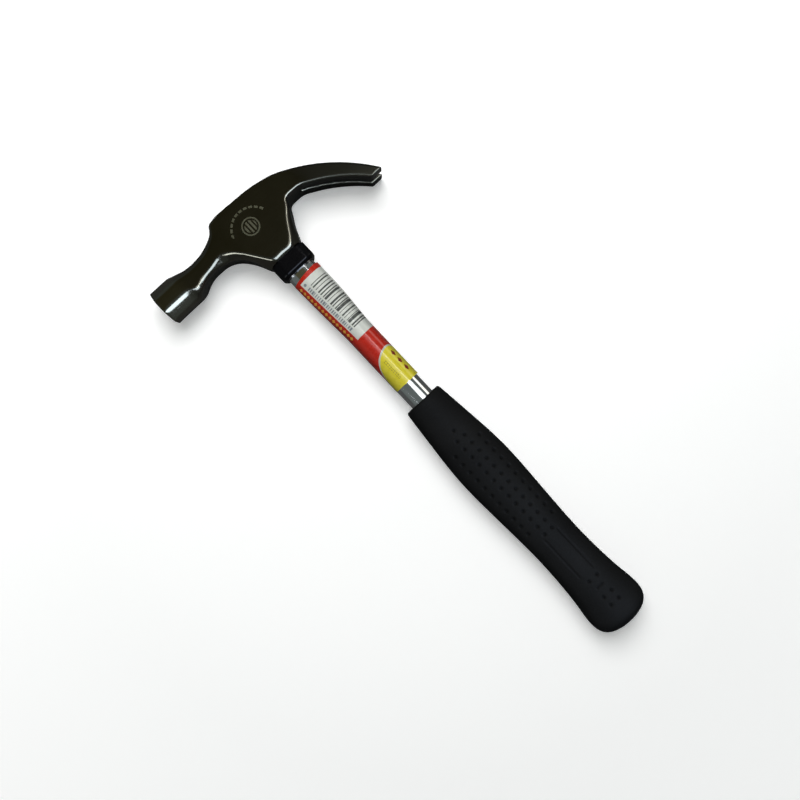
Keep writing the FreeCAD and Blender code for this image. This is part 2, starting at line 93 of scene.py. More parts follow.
class Paint:
    """A material on one Principled shader. Its methods take plain numbers or each other's outputs."""

    def __init__(self, name, **settings):
        self.material = bpy.data.materials.new(name)
        self.material.use_nodes = True
        self.tree = self.material.node_tree
        self.shader = self.tree.nodes["Principled BSDF"]
        for setting, value in settings.items():
            self.shader.inputs[setting.replace("_", " ")].default_value = value
        place = self.node("ShaderNodeTexCoord").outputs["Object"]
        self.place = self.node("ShaderNodeVectorMath", place, operation="SCALE", Scale=1 / MM).outputs[0]
        self.x, self.y, self.z = self.node("ShaderNodeSeparateXYZ", self.place).outputs

    def node(self, kind, *inputs, operation=None, **named):
        return new_node(self.tree, kind, *inputs, operation=operation, **named)

    def calc(self, operation, *values):
        return self.node("ShaderNodeMath", *values, operation=operation).outputs[0]

    def add(self, a, b):
        return self.calc("ADD", a, b)

    def times(self, a, b):
        return self.calc("MULTIPLY", a, b)

    def less(self, value, limit):
        return self.calc("LESS_THAN", value, limit)

    def hypot(self, a, b):
        return self.calc("SQRT", self.add(self.times(a, a), self.times(b, b)))

    def either(self, *masks):
        """The greatest of its masks."""
        joined = masks[0]
        for mask in masks[1:]:
            joined = self.calc("MAXIMUM", joined, mask)
        return joined

    def away(self, value, place):
        """How far value is from a place, on either side."""
        return self.calc("ABSOLUTE", self.add(value, -place))

    def offsets(self, first, second, place):
        """How far two coordinates are past those of a place."""
        return self.add(first, -place[0]), self.add(second, -place[1])

    def inside(self, value, low, high):
        """1 where value lies between low and high, else 0."""
        return self.calc("COMPARE", value, (low + high) / 2, (high - low) / 2)

    def patch(self, first, second, area):
        """1 where two coordinates lie in an area, given as (low, high) for each of them, else 0."""
        return self.times(self.inside(first, *area[0]), self.inside(second, *area[1]))

    def step(self, value, low, high):
        """0 up to low, 1 from high on, smooth between them."""
        made = self.node("ShaderNodeMapRange", value, low, high)
        made.interpolation_type = "SMOOTHSTEP"
        return made.outputs[0]

    def saw(self, value, start, pitch):
        """Where value lies within its own repeat, from 0 to 1."""
        return self.calc("FRACT", self.times(self.add(value, -start), 1 / pitch))

    def stripes(self, value, start, end, pitch, share):
        """1 on the first share of each pitch from start to end, else 0."""
        on_stripe = self.inside(self.saw(value, start, pitch), 0.0, share)
        return self.times(on_stripe, self.inside(value, start, end))

    def proud(self, low, high):
        """Goes from 0 to 1 as the shape's pointiness goes from low to high: from hollows to edges."""
        return self.step(self.node("ShaderNodeNewGeometry").outputs["Pointiness"], low, high)

    def noise(self, scale, detail=3.0, stretch=None):
        """Noise with scale features to a millimetre; stretch gives each axis a factor of its own."""
        place = self.place
        if stretch:
            place = self.node("ShaderNodeVectorMath", place, stretch, operation="MULTIPLY").outputs[0]
        return self.node("ShaderNodeTexNoise", Vector=place, Scale=scale, Detail=detail).outputs[0]

    def mix(self, share, first, second):
        """The first colour where share is 0, the second where it is 1."""
        made = self.node("ShaderNodeMix")
        made.data_type = "RGBA"
        for socket, value in zip((made.inputs[0], made.inputs[6], made.inputs[7]), (share, first, second)):
            feed(self.tree, socket, value)
        return made.outputs[2]

    def colour(self, value):
        feed(self.tree, self.shader.inputs["Base Color"], value)

    def roughness(self, source, low, high):
        """Roughness from low to high as source goes from 0 to 1."""
        spread = self.node("ShaderNodeMapRange", source, 0.0, 1.0, low, high).outputs[0]
        feed(self.tree, self.shader.inputs["Roughness"], spread)

    def bump(self, height, depth):
        """Surface relief: depth in millimetres for a height from 0 to 1."""
        made = self.node("ShaderNodeBump", Height=height, Distance=depth * MM, Strength=1.0)
        feed(self.tree, self.shader.inputs["Normal"], made.outputs[0])


# Steel, chrome, plastic and rubber -----------------------------------------------------------------------

GROUND_STEEL = rgb(0.115, 0.108, 0.086), rgb(0.170, 0.162, 0.132)    # mottled between the two
CLAW_STEEL = rgb(0.050, 0.048, 0.036)
BELL_STEEL = rgb(0.22, 0.21, 0.17)
WORN_STEEL = rgb(0.60, 0.59, 0.55)
ETCHED_STEEL = rgb(0.36, 0.345, 0.23)
CLAW_FADE = (33.0, 48.0)      # Y over which the steel turns to that of the claws
CLAW_FADE_SPREAD = 10.0       # how much the mottling shifts that
CLAW_SHARE = 0.8              # how far it turns
BELL_FADE = (51.0, 60.0)      # -Y over which it turns to that of the bell
WORN_EDGES = (0.56, 0.68)     # pointiness over which an edge comes to be worn
WORN_PATCHES = (0.3, 0.6)     # mottling over which the wear comes to show
WORN_SHARE = 0.7              # how much of the worn colour shows there, away from the claws
ETCHED_SHARE = 0.8
STEEL_ROUGHNESS = (0.10, 0.45)
GROUND_DULLNESS = 0.33        # where in that range the ground flats, the mark and the claws are
ETCHED_DULLNESS = 0.66
CLAW_DULLNESS = 0.45

ARC_CENTRE = (6.0, -3.6)      # the etched arc of dashes: X and Y of its centre
ARC_RADII = (12.2, 13.5)
ARC_DASHES = dict(start=-1.25, end=1.17, pitch=0.25, share=0.68)     # angles in radians, 0 towards -X
RING_CENTRE = (3.6, -3.8)     # the etched ring within the arc
RING_RADII = (4.6, 5.4)
RING_BARS = dict(start=-7.4, end=0.0, pitch=2.2, share=0.55)         # bars across the ring, in Y
RING_BARS_RADIUS = 3.7        # how far from the ring's centre they reach
TOP_SLACK = 0.05              # how far below the cheek's top still counts as on it

CHROME = rgb(0.74, 0.76, 0.77), rgb(0.86, 0.87, 0.87)
COLLAR_BLACK = rgb(0.001, 0.001, 0.0015), rgb(0.004, 0.004, 0.005)
RUBBER = rgb(0.0045, 0.0045, 0.0045), rgb(0.010, 0.010, 0.010)
# Painted shade: a near-black colour that darkens the dimples' hollows, where shade falls.
HOLLOW_PAINTED_SHADE = rgb(0.0006, 0.0006, 0.0006)
HOLLOW_SHADE_END = (0.455, 0.496)  # pointiness over which the painted shade in the dimples turns to the rubber's own colour
BARE_STEEL = rgb(0.42, 0.41, 0.39), rgb(0.58, 0.57, 0.55)
BEECH = rgb(0.50, 0.30, 0.14), rgb(0.66, 0.44, 0.23)
EPOXY = rgb(0.020, 0.020, 0.018), rgb(0.045, 0.043, 0.038)
PLUG_BLACK = rgb(0.010, 0.010, 0.010), rgb(0.022, 0.022, 0.022)


def etched_mark(paint):
    """A plain mark etched on the upper cheek: an arc of dashes over a ring with bars in it."""
    from_x, from_y = paint.offsets(paint.x, paint.y, ARC_CENTRE)
    angle = paint.calc("ARCTAN2", from_y, paint.times(from_x, -1.0))
    arc = paint.inside(paint.hypot(from_x, from_y), *ARC_RADII)
    dashes = paint.times(arc, paint.stripes(angle, **ARC_DASHES))
    reach = paint.hypot(*paint.offsets(paint.x, paint.y, RING_CENTRE))
    ring = paint.inside(reach, *RING_RADII)
    bars = paint.times(paint.stripes(paint.y, **RING_BARS), paint.less(reach, RING_BARS_RADIUS))
    on_top = paint.calc("GREATER_THAN", paint.z, CHEEK_TOP - TOP_SLACK)
    return paint.times(paint.either(dashes, ring, bars), on_top)


def steel_paint():
    """Dark polished forged steel: fine grinding lines, brighter worn edges, darker claws, an etched mark."""
    paint = Paint("polished_forged_steel", Metallic=1.0)
    mottle = paint.noise(scale=0.09, detail=4.0)
    fine = paint.noise(scale=1.6, detail=5.0)
    grind = paint.noise(scale=1.0, detail=4.0, stretch=(1.2, 0.12, 0.4))
    etched = etched_mark(paint)
    worn = paint.times(paint.proud(*WORN_EDGES), paint.step(mottle, *WORN_PATCHES))
    claw = paint.step(paint.add(paint.y, paint.times(mottle, CLAW_FADE_SPREAD)), *CLAW_FADE)
    bell = paint.step(paint.times(paint.y, -1.0), *BELL_FADE)

    steel = paint.mix(mottle, *GROUND_STEEL)
    steel = paint.mix(paint.times(claw, CLAW_SHARE), steel, CLAW_STEEL)
    steel = paint.mix(bell, steel, BELL_STEEL)
    worn_share = paint.add(paint.times(claw, -WORN_SHARE), WORN_SHARE)
    steel = paint.mix(paint.times(worn, worn_share), steel, WORN_STEEL)
    paint.colour(paint.mix(paint.times(etched, ETCHED_SHARE), steel, ETCHED_STEEL))

    ground = paint.times(paint.add(paint.times(grind, 0.6), paint.times(fine, 0.4)), GROUND_DULLNESS)
    dull = paint.either(ground, paint.times(etched, ETCHED_DULLNESS), paint.times(claw, CLAW_DULLNESS))
    paint.roughness(dull, *STEEL_ROUGHNESS)
    paint.bump(paint.add(paint.times(grind, 0.5), paint.times(fine, 0.35)), depth=0.005)
    return paint.material


def chrome_paint():
    """Bright plated tube with faint drawing lines along it and a little handling haze."""
    paint = Paint("drawn_chrome", Metallic=1.0)
    lines = paint.noise(scale=2.4, stretch=(0.03, 1.0, 1.0))
    haze = paint.noise(scale=0.12, detail=4.0)
    paint.colour(paint.mix(haze, *CHROME))
    paint.roughness(paint.times(haze, lines), low=0.05, high=0.24)
    paint.bump(lines, depth=0.0015)
    return paint.material


def collar_paint():
    """Glossy black moulded plastic with a faint orange-peel surface."""
    paint = Paint("black_gloss_plastic", IOR=1.5, Specular_IOR_Level=0.14)
    peel = paint.noise(scale=0.5, detail=2.0)
    dust = paint.noise(scale=3.0, detail=4.0)
    paint.colour(paint.mix(dust, *COLLAR_BLACK))
    paint.roughness(dust, low=0.12, high=0.3)
    paint.bump(peel, depth=0.03)
    return paint.material


def rubber_paint():
    """Matte black rubber with a fine moulded grain and slightly paler rubbed places; painted shade darkens
    the dimples.
    """
    paint = Paint("black_grip_rubber", IOR=1.48, Specular_IOR_Level=0.045)
    grain = paint.noise(scale=2.2, detail=4.0)
    pebbles = paint.node("ShaderNodeTexVoronoi", Vector=paint.place, Scale=1.1).outputs[0]
    rubbed = paint.noise(scale=0.05)
    matte = paint.mix(rubbed, *RUBBER)
    # Painted shade: the hollows, found by their low pointiness, are darkened towards near black.
    paint.colour(paint.mix(paint.proud(*HOLLOW_SHADE_END), HOLLOW_PAINTED_SHADE, matte))
    paint.roughness(grain, low=0.5, high=0.78)
    paint.bump(paint.add(paint.times(grain, 0.6), paint.times(pebbles, 0.4)), depth=0.08)
    return paint.material


def plain_paint(name, colours, scale, roughness, depth, metallic=0.0, stretch=None):
    """A material of two mottled colours, for the pieces that hardly show."""
    paint = Paint(name, Metallic=metallic)
    pattern = paint.noise(scale, detail=4.0, stretch=stretch)
    paint.colour(paint.mix(pattern, *colours))
    paint.roughness(pattern, *roughness)
    paint.bump(pattern, depth)
    return paint.material


# The label's print ---------------------------------------------------------------------------------------
# Places on the film are along the handle from the origin and round it from straight up towards the claws.

FILM_SKEW = 0.04              # the film is wound slightly askew: slope of its print along the handle
SKEW_FROM = 45.0              # where along the handle the skew is nothing

PANEL = ((45.6, 91.8), (-5.9, 14.2))         # the pale panel: ends along the handle, sides round it
PANEL_BARS = ((49.8, 85.8), (-1.9, 12.4))
PANEL_TICKS = ((50.0, 85.6), (-5.1, -2.9))
CLOSE_BARS = dict(pitch=1.93, least=0.12, most=0.55)     # widths are shares of the pitch
SPARSE_BARS = dict(pitch=4.7, least=0.08, most=0.36)
TICKS = dict(pitch=1.45, least=0.25, most=0.85)
DOT_AT = (47.9, -4.0)
DOT_RADIUS = 0.9
SIDE_ROW = dict(start=46.5, end=90.0, pitch=2.9, middle=-8.6, half=1.45, slope=3.4)    # beside the panel

OVAL_AT = (129.2, 6.3)        # middle of the yellow oval
OVAL_HALVES = (24.0, 18.5)    # its half sizes along the handle and round it
OVAL_RIM = 0.955              # where its yellow ends and its rim begins, as a share of its size
OVAL_DROPS = dict(start=108.6, end=125.4, pitch=5.6, middle=7.4, half=1.7, slope=4.4)
OVAL_ROWS = dict(start=-1.8, end=0.2, pitch=1.1, share=0.4)          # two rows of dashes, round the handle
OVAL_DASHES = dict(start=111.5, end=125.0, pitch=1.5, share=0.7)     # the dashes in them, along it

RED_INK = rgb(0.44, 0.012, 0.003), rgb(0.54, 0.017, 0.004)           # mottled between the two
PALE_INK = rgb(0.60, 0.62, 0.58), rgb(0.70, 0.72, 0.67)
YELLOW_INK = rgb(0.66, 0.57, 0.022), rgb(0.76, 0.67, 0.035)
BLACK_INK = rgb(0.022, 0.026, 0.024)
BLUE_INK = rgb(0.10, 0.13, 0.17)
ORANGE_INK = rgb(0.85, 0.42, 0.06)
RIM_INK = rgb(0.56, 0.57, 0.50)
DROP_INK = rgb(0.22, 0.03, 0.01)
BROWN_INK = rgb(0.16, 0.11, 0.03)
BARS_INKED = 0.93             # how much of the ink there is in the bars, the ticks and the oval's dashes
TICKS_INKED = 0.8
DASHES_INKED = 0.7


def uneven_bars(paint, along, pitch, least, most):
    """Bars across the handle, one to a pitch, each with its own width between two shares of the pitch."""
    in_pitches = paint.times(along, 1 / pitch)
    widths = paint.node("ShaderNodeTexWhiteNoise")
    widths.noise_dimensions = "1D"
    feed(paint.tree, widths.inputs["W"], paint.calc("FLOOR", in_pitches))
    width = paint.add(paint.times(widths.outputs[0], most - least), least)
    return paint.less(paint.calc("FRACT", in_pitches), width)


def lozenges(paint, along, around, start, end, pitch, middle, half, slope):
    """A row of lozenges from start to end, one to a pitch.

    Each reaches half to either side of middle, and narrows by slope for a pitch away from its own middle.
    """
    from_own_middle = paint.away(paint.saw(along, start, pitch), 0.5)
    narrowing = paint.add(paint.times(from_own_middle, slope), paint.away(around, middle))
    return paint.times(paint.less(narrowing, half), paint.inside(along, start, end))


def print_panel(paint, ink, mottle, along, side):
    """The pale panel with its bars, ticks and dot, and the row of lozenges beside it."""
    ink = paint.mix(paint.patch(along, side, PANEL), ink, paint.mix(mottle, *PALE_INK))
    bars = paint.either(uneven_bars(paint, along, **CLOSE_BARS), uneven_bars(paint, along, **SPARSE_BARS))
    bars = paint.times(bars, paint.patch(along, side, PANEL_BARS))
    ink = paint.mix(paint.times(bars, BARS_INKED), ink, BLACK_INK)
    ticks = paint.times(uneven_bars(paint, along, **TICKS), paint.patch(along, side, PANEL_TICKS))
    dot = paint.less(paint.hypot(*paint.offsets(along, side, DOT_AT)), DOT_RADIUS)
    ink = paint.mix(paint.times(paint.either(ticks, dot), TICKS_INKED), ink, BLUE_INK)
    return paint.mix(lozenges(paint, along, side, **SIDE_ROW), ink, ORANGE_INK)


def print_oval(paint, ink, mottle, along, around):
    """The rimmed yellow oval with its drops and its two rows of short dashes."""
    past_along, past_around = paint.offsets(along, around, OVAL_AT)
    u = paint.times(past_along, 1 / OVAL_HALVES[0])
    v = paint.times(past_around, 1 / OVAL_HALVES[1])
    reach = paint.hypot(u, v)
    ink = paint.mix(paint.less(reach, 1.0), ink, RIM_INK)
    ink = paint.mix(paint.less(reach, OVAL_RIM), ink, paint.mix(mottle, *YELLOW_INK))
    ink = paint.mix(lozenges(paint, along, around, **OVAL_DROPS), ink, DROP_INK)
    dashes = paint.times(paint.stripes(around, **OVAL_ROWS), paint.stripes(along, **OVAL_DASHES))
    return paint.mix(paint.times(dashes, DASHES_INKED), ink, BROWN_INK)


def film_paint():
    """Printed plastic film: red, with a pale bar panel and a rimmed yellow oval; no lettering."""
    paint = Paint("printed_film", IOR=1.5, Specular_IOR_Level=0.3, Coat_Weight=0.7, Coat_Roughness=0.07)
    attribute = paint.node("ShaderNodeAttribute")
    attribute.attribute_name = "around"    # stored by make_label: how far round the film, in millimetres
    around = attribute.outputs["Fac"]
    along = paint.add(paint.x, paint.times(around, FILM_SKEW))
    side = paint.add(around, paint.times(paint.add(paint.x, -SKEW_FROM), -FILM_SKEW))
    mottle = paint.noise(scale=0.25)
    ink = paint.mix(mottle, *RED_INK)
    ink = print_panel(paint, ink, mottle, along, side)
    paint.colour(print_oval(paint, ink, mottle, along, around))
    paint.roughness(mottle, low=0.22, high=0.34)
    paint.bump(paint.noise(scale=0.32, stretch=(0.25, 1.0, 1.0)), depth=0.10)
    return paint.material


# Shapes --------------------------------------------------------------------------------------------------

OUTSIDE = 100.0               # a distance from the handle's axis that is clear of the handle


def add_piece(name, mesh, paint, node):
    """A finished mesh as a smooth piece that rides on the hammer in place of its CAD node."""
    piece = bpy.data.objects.new(name, mesh)
    bpy.context.scene.collection.objects.link(piece)
    mesh.materials.clear()
    mesh.materials.append(paint)
    for face in mesh.polygons:
        face.use_smooth = True
    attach(piece, "root")
    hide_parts(node)


def bridge(shape, near, far, closed=False):
    """Faces between two rows of as many points each; closed rows go all the way round."""
    count = len(near)
    for index in range(count if closed else count - 1):
        after = (index + 1) % count
        shape.faces.new((near[index], near[after], far[after], far[index]))


def finished_mesh(shape, name):
    """The mesh of a bmesh, with its faces turned outwards."""
    bmesh.ops.recalc_face_normals(shape, faces=shape.faces)
    mesh = bpy.data.meshes.new(name)
    shape.to_mesh(mesh)
    shape.free()
    return mesh


def mesh_from_rings(name, rings):
    """A skin over rings of as many points each, closed over its first and last ring by one point each."""
    shape = bmesh.new()
    rows = [[shape.verts.new(point * MM) for point in ring] for ring in rings]
    for near, far in zip(rows, rows[1:]):
        bridge(shape, near, far, closed=True)
    for row in (rows[0], rows[-1]):
        count = len(row)
        middle = shape.verts.new(sum((vert.co for vert in row), Vector()) / count)
        for index in range(count):
            shape.faces.new((row[index], row[(index + 1) % count], middle))
    return finished_mesh(shape, name)


def new_worker(name, mesh):
    """An object that only holds modifiers for a mesh."""
    worker = bpy.data.objects.new(name + "_work", mesh)
    bpy.context.scene.collection.objects.link(worker)
    return worker


def add_smoothing(worker, rounds):
    """Gives a worker a smoothing modifier, which is returned."""
    smooth = worker.modifiers.new("smoothing", "SMOOTH")
    smooth.factor = 0.5
    smooth.iterations = rounds
    return smooth


def take_mesh(worker, name):
    """The mesh that a worker's modifiers make. The worker is removed."""
    bpy.context.view_layer.update()
    done = worker.evaluated_get(bpy.context.evaluated_depsgraph_get())
    mesh = bpy.data.meshes.new_from_object(done)
    mesh.name = name
    bpy.data.objects.remove(worker)
    return mesh


def softened(name, node, voxel, rounds):
    """A copy of a CAD node's mesh with fine even faces and its edges rounded."""
    worker = new_worker(name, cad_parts[node].data.copy())
    remesh = worker.modifiers.new("even_faces", "REMESH")
    remesh.mode = "VOXEL"
    remesh.voxel_size = voxel * MM
    add_smoothing(worker, rounds)
    return take_mesh(worker, name)


def round_more(mesh, share, rounds):
    """Smooths a mesh by as much of the rounds as share gives at each of its points."""
    worker = new_worker(mesh.name, mesh)
    group = worker.vertex_groups.new(name="share")
    for vert in mesh.vertices:
        weight = share(vert.co)
        if weight > 0.0:
            group.add([vert.index], weight, "REPLACE")
    add_smoothing(worker, rounds).vertex_group = group.name
    return take_mesh(worker, mesh.name)


def surface(node):
    """A CAD node's faces, to cast rays at."""
    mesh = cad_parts[node].data
    places = [vert.co for vert in mesh.vertices]
    return BVHTree.FromPolygons(places, [face.vertices for face in mesh.polygons])


def half_sizes(tree, x):
    """Half width and half thickness of the handle at x, read from a CAD node's surface."""
    side = tree.ray_cast(Vector((x, OUTSIDE, AXIS_Z)) * MM, Vector((0, -1, 0)))[0]
    above = tree.ray_cast(Vector((x, 0, OUTSIDE)) * MM, Vector((0, 0, -1)))[0]
    return side.y / MM, above.z / MM - AXIS_Z


def oval_point(x, wide, thin, turn):
    """A point of an oval section, with turn measured from straight up towards the claws."""
    return Vector((x, wide * math.sin(turn), AXIS_Z + thin * math.cos(turn)))


def oval_ring(x, wide, thin, turns):
    return [oval_point(x, wide, thin, turn) for turn in turns]


# Head and collar -----------------------------------------------------------------------------------------

FACE_CROWN = 0.35             # how far the striking face is lower at its rim than in its middle
FACE_RIM = 10.0               # radius of that rim
FACE_DEPTH = 1.0              # how far behind the face the crowning ends
FACE_SLACK = 0.05             # how far behind the face still counts as on it
BELL_ROUNDS = 220             # smoothing of the bell's edges, the softest of the forging
BELL_ONLY = 0.78              # share of it that only the bell gets
FACE_END = (-73.2, -70.8)     # Y over which it sets in, behind the striking face
BELL_END = (-57.0, -49.0)     # Y over which the bell's own share fades
CLAW_START = (12.0, 24.0)     # Y over which the rest fades
CHEEK_FOOT = (-9.0, -3.0)     # X over which it sets in past the bell, from the top of the head down


def ramp(value, low, high):
    """0 up to low, 1 from high on, straight between them."""
    return min(1.0, max(0.0, (value - low) / (high - low)))


def edge_share(point):
    """How soft the forging's edges are: 1 on the bell, less on the lower cheeks, 0 on the claws."""
    x, y = point.x / MM, point.y / MM
    past_bell = ramp(y, *BELL_END)
    along = ramp(y, *FACE_END) * (1.0 - BELL_ONLY * past_bell) * (1.0 - ramp(y, *CLAW_START))
    return along * max(ramp(x, *CHEEK_FOOT), 1.0 - past_bell)


def bell_axis_x():
    """X of the bell's axis: the middle of the head's points at the striking face."""
    points = [vert.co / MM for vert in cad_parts["head"].data.vertices]
    on_face = [point.x for point in points if point.y < head_low.y + FACE_SLACK]
    return (min(on_face) + max(on_face)) / 2


def make_head(paint):
    """The forged head with rounded edges and a slightly crowned striking face."""
    mesh = round_more(softened("forged_head", "head", voxel=0.4, rounds=6), edge_share, BELL_ROUNDS)
    middle_x = bell_axis_x()
    for vert in mesh.vertices:
        behind = vert.co.y / MM - head_low.y
        if behind < FACE_DEPTH:
            reach = math.hypot(vert.co.x / MM - middle_x, vert.co.z / MM - AXIS_Z)
            vert.co.y += FACE_CROWN * (reach / FACE_RIM) ** 2 * (1.0 - behind / FACE_DEPTH) * MM
    add_piece("forged_head", mesh, paint, "head")


def make_collar(paint):
    """The collar with its edges rounded."""
    mesh = softened("neck_collar", "collar", voxel=0.3, rounds=5)
    add_piece("neck_collar", mesh, paint, "collar")


# Label ---------------------------------------------------------------------------------------------------

LABEL_RADIUS = 8.2            # mean radius that the film is wound on
FILM_GAP = 0.02               # between the tube and the film
FILM_THICK = 0.16             # thickness of the film with that gap
SEAM_TURN = math.radians(97)  # turn of the film's free edge
OVERLAP = math.radians(24)    # how far it lies over the film's hidden edge
HIDDEN_TURN = SEAM_TURN - math.tau - OVERLAP    # turn of its hidden edge
SEAM_LIFT = 0.75              # how far the free edge stands off
BLISTER_AT = 62.0             # where along the handle it stands off more
BLISTER_REACH = 15.0          # over what length
BLISTER_LIFT = 0.7            # how much more
LABEL_INSET = 0.6             # how far the upper edge is below the CAD label's, on average
LABEL_SLANT = 1.2             # how much it is cut askew, to either side of that
LABEL_TURNS = 200             # faces of the film round the tube
LABEL_STEPS = 90              # faces of it along the tube
FILM_SHARP = math.radians(40) # edges of the film that turn by more are shaded sharp


def film_lift(x, turn, skin):
    """How far a skin of the film is off the tube: its own height, and past the overlap's start more.

    There the film climbs onto its hidden edge at once, and then bends away towards its free edge.
    """
    if turn < HIDDEN_TURN + OVERLAP:
        return skin
    free = max(0.0, 1.0 - (SEAM_TURN - turn) / OVERLAP)
    edge_lift = SEAM_LIFT + BLISTER_LIFT * math.exp(-((x - BLISTER_AT) / BLISTER_REACH) ** 2)
    return skin + FILM_THICK * free ** 0.25 + edge_lift * free ** 3


def make_label(paint):
    """A printed film wound once round the tube, its free edge lifting a little on the side of the claws."""
    tube = surface("handle_tube")
    shape = bmesh.new()
    around = shape.verts.layers.float.new("around")
    skins = []
    for skin in (FILM_GAP, FILM_THICK):
        rows = []
        for step in range(LABEL_STEPS + 1):
            row = []
            for index in range(LABEL_TURNS + 1):
                turn = HIDDEN_TURN + (SEAM_TURN - HIDDEN_TURN) * index / LABEL_TURNS
                begin = label_low.x + LABEL_INSET - LABEL_SLANT * math.sin(turn)
                x = begin + (label_high.x - begin) * step / LABEL_STEPS
                wide, thin = half_sizes(tube, x)
                lift = film_lift(x, turn, skin)
                vert = shape.verts.new(oval_point(x, wide + lift, thin + lift, turn) * MM)
                vert[around] = turn * LABEL_RADIUS
                row.append(vert)
            rows.append(row)
        for near, far in zip(rows, rows[1:]):
            bridge(shape, near, far)
        skins.append(rows)
    inner, outer = skins
    for end in (0, -1):
        bridge(shape, inner[end], outer[end])
        bridge(shape, [row[end] for row in inner], [row[end] for row in outer])
    mesh = finished_mesh(shape, "printed_label")
    add_piece("printed_label", mesh, paint, "wrap_label")
    mesh.set_sharp_from_angle(angle=FILM_SHARP)


# Grip ----------------------------------------------------------------------------------------------------

DIMPLE_PITCH = 6.07
DIMPLE_RADIUS = 1.05
DIMPLE_DEPTH = 0.6
DIMPLE_REACH = 1.6            # how far from its centre a dimple sinks the surface, in radii
FIRST_DIMPLES = [(167.3, 0.6), (173.2, -2.4), (173.2, 3.7)]    # X and Y of the ones above the rows
ROWS_FROM = 179.3             # X of the first full row
ROW_COUNT = 11
ROW = (-9.2, -2.3, 3.8, 10.2) # Y of the dimples in a full row
LAST_ROW = (-2.3, 3.8)        # the same in the row after them
BUTT_ROWS = (283.0, 295.0, 301.0)
BUTT_ROW = (-2.3, 4.2)

GROOVES = (-4.6, 5.6)         # Y of the two long grooves
GROOVE_ENDS = (247.5, 279.5)  # X of their ends
GROOVE_HALF = 0.9             # half their width
GROOVE_DEPTH = 0.35
GROOVE_RISE = 2.0             # length over which they run out
BAR_AT = (288.7, 1.0)         # X and Y of the short bar
BAR_HALVES = (0.8, 3.2)       # half its sizes
BAR_DEPTH = 0.4
BAR_STEEPNESS = 3             # slope of its walls, in its depths to its half sizes

BROAD_HALF = 48               # how far a broad side reaches from its middle, in degrees round the grip
FINE_TURN = 1.35              # degrees from point to point on the broad sides, which have the relief
COARSE_TURN = 3               # the same between them
FINE_STEP = 0.42              # from ring to ring where there is relief
COARSE_STEP = 0.9             # the same elsewhere
RELIEF_ENDS = (164.0, 304.0)  # X between which there is relief
FIRST_RING = 1.2              # how far the first ring after the lip's is from the grip's upper end
LAST_RING = 0.3               # the least that the last one before the butt's is from its lower end
BORE_GAP = 0.02               # between the tube and the grip's bore
END_INSET = 0.05              # how far inside the grip's ends its end sections are measured

# The lip's rings, the first on the bore: how far inside its outline, and how far from the grip's upper end.
LIP = ((math.inf, 2.2), (3.9, 0.9), (3.0, 0.25), (1.9, 0.0), (0.9, 0.05), (0.35, 0.3), (0.08, 0.7))
BUTT = (0.98, 0.9, 0.7, 0.4, 0.1)    # the rings of the butt's end, as shares of its outline
BUTT_DISH = 0.2                      # how far the butt's end is sunk in its middle


def grip_dimples():
    """Centres of the dimples as seen from above: x along the handle, y across it."""
    rows = [(ROWS_FROM + index * DIMPLE_PITCH, ROW) for index in range(ROW_COUNT)]
    rows.append((ROWS_FROM + ROW_COUNT * DIMPLE_PITCH, LAST_ROW))
    rows += [(x, BUTT_ROW) for x in BUTT_ROWS]
    return FIRST_DIMPLES + [(x, y) for x, row in rows for y in row]


def relief(x, y, dimples):
    """How far the grip's surface is sunk at a place."""
    sunk = 0.0
    for at_x, at_y in dimples:
        reach = math.hypot(x - at_x, y - at_y) / DIMPLE_RADIUS
        if reach < DIMPLE_REACH:
            sunk += DIMPLE_DEPTH / (1.0 + reach ** 6)
    start, end = GROOVE_ENDS
    from_groove = min(abs(y - groove) for groove in GROOVES)
    if start < x < end and from_groove < GROOVE_HALF:
        running_out = min(1.0, (x - start) / GROOVE_RISE, (end - x) / GROOVE_RISE)
        sunk += GROOVE_DEPTH * (1 - (from_groove / GROOVE_HALF) ** 2) * running_out
    from_bar = max(abs(x - BAR_AT[0]) / BAR_HALVES[0], abs(y - BAR_AT[1]) / BAR_HALVES[1])
    if from_bar < 1.0:
        sunk += BAR_DEPTH * min(1.0, BAR_STEEPNESS * (1.0 - from_bar))
    return sunk


def grip_turns():
    """Turns round the grip, close together on its two broad sides."""
    fine_count = int(2 * BROAD_HALF / FINE_TURN)
    coarse_count = (180 - 2 * BROAD_HALF) // COARSE_TURN
    degrees = [-BROAD_HALF + FINE_TURN * index for index in range(fine_count)]
    degrees += [BROAD_HALF + COARSE_TURN * index for index in range(1, coarse_count)]
    return [middle + math.radians(turn) for middle in (0.0, math.pi) for turn in degrees]


def grip_stations():
    """Where along the handle the grip has its rings, between its lip and its butt."""
    stations = []
    x = grip_low.x + FIRST_RING
    while x < grip_high.x - LAST_RING:
        stations.append(x)
        x += FINE_STEP if RELIEF_ENDS[0] < x < RELIEF_ENDS[1] else COARSE_STEP
    return stations


def sunk_ring(x, wide, thin, turns, dimples):
    """An oval ring with the relief sunk into it."""
    near = [place for place in dimples if abs(place[0] - x) < DIMPLE_REACH * DIMPLE_RADIUS]
    ring = []
    for point in oval_ring(x, wide, thin, turns):
        outward = Vector((0, point.y / wide ** 2, (point.z - AXIS_Z) / thin ** 2)).normalized()
        ring.append(point - outward * relief(x, point.y, near))
    return ring


